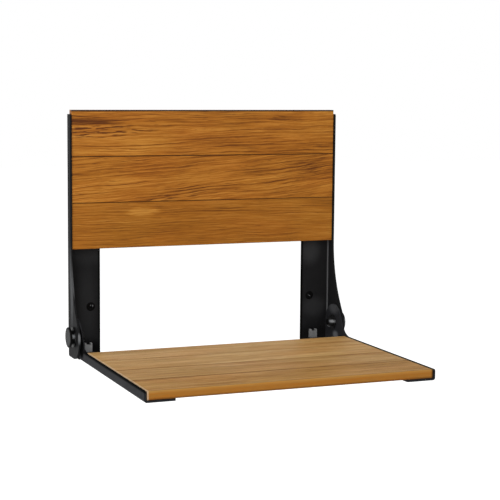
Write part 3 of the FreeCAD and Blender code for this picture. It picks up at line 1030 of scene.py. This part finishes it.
@dataclass
class Screw:
    """A turned screw with a six-lobed recess, drawn with its head's top at the origin and its axis along +Z.

    The outline runs from the recess's edge outward and down to the shank's end, as radius and height in mm.
    """

    outline_mm: tuple[tuple[float, float], ...]
    recess_depth_mm: float
    recess_lobe: float = 0.22
    recess_edge_mm: float = 0.15
    lobes: int = 6
    segments: int = 48

    def mesh(self, name: str, turn: Matrix, places_mm: Sequence[Triple]) -> bpy.types.Mesh:
        """One mesh with a screw at each place.

        Args:
            name: the mesh's name.
            turn: from the screw's own axis to the row frame.
            places_mm: where the heads' tops are.

        Returns:
            The mesh, in metres in the row frame.
        """
        shape = bmesh.new()
        for place in places_mm:
            screw = self.shape()
            screw.transform(Matrix.Translation(Vector(place) * MM) @ turn.to_4x4())
            part = bpy.data.meshes.new("screw")
            screw.to_mesh(part)
            screw.free()
            shape.from_mesh(part)
            bpy.data.meshes.remove(part)
        mesh = bpy.data.meshes.new(name)
        shape.to_mesh(mesh)
        shape.free()
        return mesh

    def shape(self) -> bmesh.types.BMesh:
        """One screw at the origin: the outline spun and closed, with the recess pressed into its top.

        Returns:
            The screw, in metres.
        """
        shape = bmesh.new()
        spots = [shape.verts.new((radius * MM, 0, height * MM)) for radius, height in self.outline_mm]
        edges = [shape.edges.new(pair) for pair in zip(spots, spots[1:])]
        bmesh.ops.spin(shape, geom=spots + edges, cent=(0, 0, 0), axis=(0, 0, 1), angle=math.tau,
                       steps=self.segments, use_merge=True)
        bmesh.ops.remove_doubles(shape, verts=shape.verts, dist=0.001 * MM)
        bmesh.ops.holes_fill(shape, edges=[edge for edge in shape.edges if edge.is_boundary], sides=0)
        bmesh.ops.recalc_face_normals(shape, faces=shape.faces)
        caps = [face for face in shape.faces if len(face.verts) == self.segments]
        top = max(caps, key=lambda face: face.calc_center_median().z)
        for vert in top.verts:
            turn = math.atan2(vert.co.y, vert.co.x)
            wave = 1 - self.recess_lobe * (1 - math.cos(self.lobes * turn)) / 2
            vert.co.x *= wave
            vert.co.y *= wave
        bmesh.ops.inset_region(shape, faces=[top], thickness=self.recess_edge_mm * MM,
                               depth=-self.recess_depth_mm * MM, use_even_offset=True)
        bmesh.ops.recalc_face_normals(shape, faces=shape.faces)
        for face in shape.faces:
            face.smooth = len(face.verts) == 4
        return shape


@dataclass
class Screws:
    """The small screws that the solids leave out: two in the wall plates and eight under the seat."""

    wall: Screw = field(default_factory=lambda: Screw(
        ((2.6, -0.25), (2.95, 0), (6.9, 0), (7.2, -0.2), (3.75, -2.05), (3.6, -2.4), (3.6, -2.9)), 1.7))
    wood: Screw = field(default_factory=lambda: Screw(
        ((1.7, -0.2), (2.0, 0), (2.9, -0.1), (3.6, -0.45), (3.95, -1.0), (4.0, -1.75)), 1.1))
    bolt_x_mm: float = 197.0
    plate_front_mm: float = -3.0
    flange_x_mm: float = 206.0
    head_low_mm: float = -78.8
    boards: int = 4
    # The wall screws' black, with painted glints on their heads
    black: TurnedSteel = TurnedSteel(
        "wall_screw_black", linear(3, 3, 3), linear(30, 30, 30), 0.4, 0.0, 0.03, 0.3,
        painted_lights=(Rub((-196.7, -3, 1.9), (1.4, 4, 2.0), 0.8), Rub((-193.6, -3, 1.4), (1.2, 4, 2.4), 0.5),
              Rub((195.6, -3, 1.0), (1.5, 4, 1.6), 0.8), Rub((197.8, -3, -0.8), (1.4, 4, 1.5), 1.0)))
    bright: TurnedSteel = TurnedSteel(
        "wood_screw_steel", linear(150, 150, 148), linear(205, 205, 205), 0.3, 1.0)

    def place(self, name: str, mesh: bpy.types.Mesh, material: bpy.types.Material, body: str) -> None:
        """Links a piece and hangs it on its body.

        Args:
            name: the piece's name.
            mesh: its mesh.
            material: its finish.
            body: the body that carries it.
        """
        mesh.materials.append(material)
        piece = bpy.data.objects.new(name, mesh)
        bpy.context.scene.collection.objects.link(piece)
        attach(piece, body)
        log.info("%s: %d faces, on %s", name, len(mesh.polygons), body)

    def dress(self) -> None:
        """Builds and finishes them."""
        black, bright = self.black.material(), self.bright.material()
        to_room = Matrix.Rotation(math.radians(90), 3, "X")
        to_floor = Matrix.Rotation(math.radians(180), 3, "X")
        for side in Side:
            wall = self.wall.mesh(f"wall_screw_{side.word}", to_room,
                                  [(side.value * self.bolt_x_mm, self.plate_front_mm, 0)])
            self.place(f"wall_screw_{side.word}", wall, black, "wall_frame")
            places = [(side.value * self.flange_x_mm, SEAT_FRONT_MM + (board + 0.5) * SEAT_PITCH_MM,
                       self.head_low_mm) for board in range(self.boards)]
            wood = self.wood.mesh(f"wood_screws_{side.word}", to_floor, places)
            self.place(f"wood_screws_{side.word}", wood, bright, "seat")


@dataclass(frozen=True)
class Lamp:
    """A square soft lamp: where it hangs, its side, its power and what it points at."""

    name: str
    place_m: Triple
    size_m: float
    watts: float
    aim_m: Triple = (0, -0.2, 0.05)

    def hang(self) -> None:
        """Puts it in the scene."""
        data = bpy.data.lights.new(self.name, "AREA")
        data.size = self.size_m
        data.energy = self.watts
        lamp = bpy.data.objects.new(self.name, data)
        bpy.context.scene.collection.objects.link(lamp)
        lamp.location = self.place_m
        lamp.rotation_euler = (Vector(self.aim_m) - Vector(self.place_m)).to_track_quat("-Z", "Y").to_euler()


@dataclass
class Studio:
    """Floor, soft lamps, white surroundings and the camera."""

    floor_z: float = -0.52
    floor_half: float = 12.0
    camera_m: Triple = (-0.845407, -2.268227, 0.370615)
    yaw: float = 22.321
    pitch: float = 6.69
    roll: float = 0.502
    focal_px: float = 1444.212
    picture_px: float = 500.0
    world_light: float = 0.42
    room_light: float = 0.22
    floor_lift: float = 0.7
    lamps: tuple[Lamp, ...] = (
        Lamp("key", (-1.5, -2.2, 1.7), 1.2, 30),
        Lamp("front", (0.45, -2.4, 0.45), 0.3, 7),
        Lamp("top", (0.3, -0.3, 2.2), 1.4, 13),
        Lamp("side", (-2.3, -1.1, 0.1), 0.9, 14, aim_m=(0.2, 0, 0)),
        Lamp("rear", (-1.2, 2.3, 1.3), 1.2, 11),
    )

    def floor(self) -> None:
        """A plain pale floor that shows white to the camera and keeps the seat's shadow."""
        mesh = bpy.data.meshes.new("floor")
        shape = bmesh.new()
        bmesh.ops.create_grid(shape, x_segments=1, y_segments=1, size=self.floor_half)
        bmesh.ops.translate(shape, verts=shape.verts, vec=(0, 0, self.floor_z))
        shape.to_mesh(mesh)
        shape.free()
        piece = bpy.data.objects.new("floor", mesh)
        bpy.context.scene.collection.objects.link(piece)
        material = bpy.data.materials.new("floor_white")
        graph = Graph.on(material)
        where = graph.add("TexCoord").outputs["Object"]
        tone = graph.mix(graph.noise(where, 3.0), linear(232, 232, 232), linear(238, 238, 238))
        matt = graph.add("BsdfDiffuse", {"Color": tone})
        ray = graph.add("LightPath")
        seen = graph.sum("MAXIMUM", ray.outputs["Is Camera Ray"], ray.outputs["Is Glossy Ray"])
        strength = graph.sum("MULTIPLY", seen, self.floor_lift)
        lift = graph.add("Emission", {"Color": WHITE, "Strength": strength})
        both = graph.add("AddShader", {0: matt.outputs[0], 1: lift.outputs[0]})
        graph.add("OutputMaterial", {0: both.outputs[0]})
        mesh.materials.append(material)

    def surroundings(self) -> None:
        """White for the camera and behind the seat, a darker room in front of it, and soft light."""
        world = bpy.data.worlds.new("studio")
        bpy.context.scene.world = world
        graph = Graph.on(world)
        ray = graph.add("LightPath")
        heading = graph.add("SeparateXYZ", {0: graph.add("TexCoord").outputs["Generated"]})
        room = graph.spread(heading.outputs["Y"], -0.1, 0.35, self.room_light, 1.0)
        shiny = graph.sum("MAXIMUM", ray.outputs["Is Glossy Ray"], ray.outputs["Is Transmission Ray"])
        change = graph.sum("SUBTRACT", room, self.world_light)
        lit = graph.sum("MULTIPLY_ADD", shiny, change, self.world_light)
        strength = graph.sum("MAXIMUM", lit, ray.outputs["Is Camera Ray"])
        sky = graph.add("Background", {"Color": WHITE, "Strength": strength})
        graph.add("OutputWorld", {0: sky.outputs[0]})

    def camera(self) -> None:
        """The camera of the photograph, from its fitted place, turn and lens."""
        yaw, pitch, roll = (math.radians(angle) for angle in (self.yaw, self.pitch, self.roll))
        level = math.cos(pitch)
        ahead = Vector((math.sin(yaw) * level, math.cos(yaw) * level, -math.sin(pitch)))
        right = Vector((math.cos(yaw), -math.sin(yaw), 0))
        up = right.cross(ahead)
        tilted_right = right * math.cos(roll) + up * math.sin(roll)
        tilted_up = up * math.cos(roll) - right * math.sin(roll)
        turn = Matrix((tilted_right, tilted_up, -ahead)).transposed()
        data = bpy.data.cameras.new("camera")
        data.sensor_width = 36.0
        data.sensor_fit = "HORIZONTAL"
        data.lens = self.focal_px / self.picture_px * data.sensor_width
        data.clip_start = 0.05
        camera = bpy.data.objects.new("camera", data)
        bpy.context.scene.collection.objects.link(camera)
        camera.matrix_world = Matrix.Translation(self.camera_m) @ turn.to_4x4()
        bpy.context.scene.camera = camera

    def build(self) -> None:
        """Sets up the whole studio."""
        self.floor()
        self.surroundings()
        for lamp in self.lamps:
            lamp.hang()
        self.camera()
        bpy.context.scene.view_settings.view_transform = "Standard"


def main() -> None:
    """Builds and dresses every sub-assembly, then the studio."""
    for part in (Boards(), Steelwork(), Hinges(), Bumpers(), Screws()):
        part.dress()
    Studio().build()


if __name__ == "__main__":
    logging.basicConfig(level=logging.INFO, format="%(name)s %(message)s")
    main()
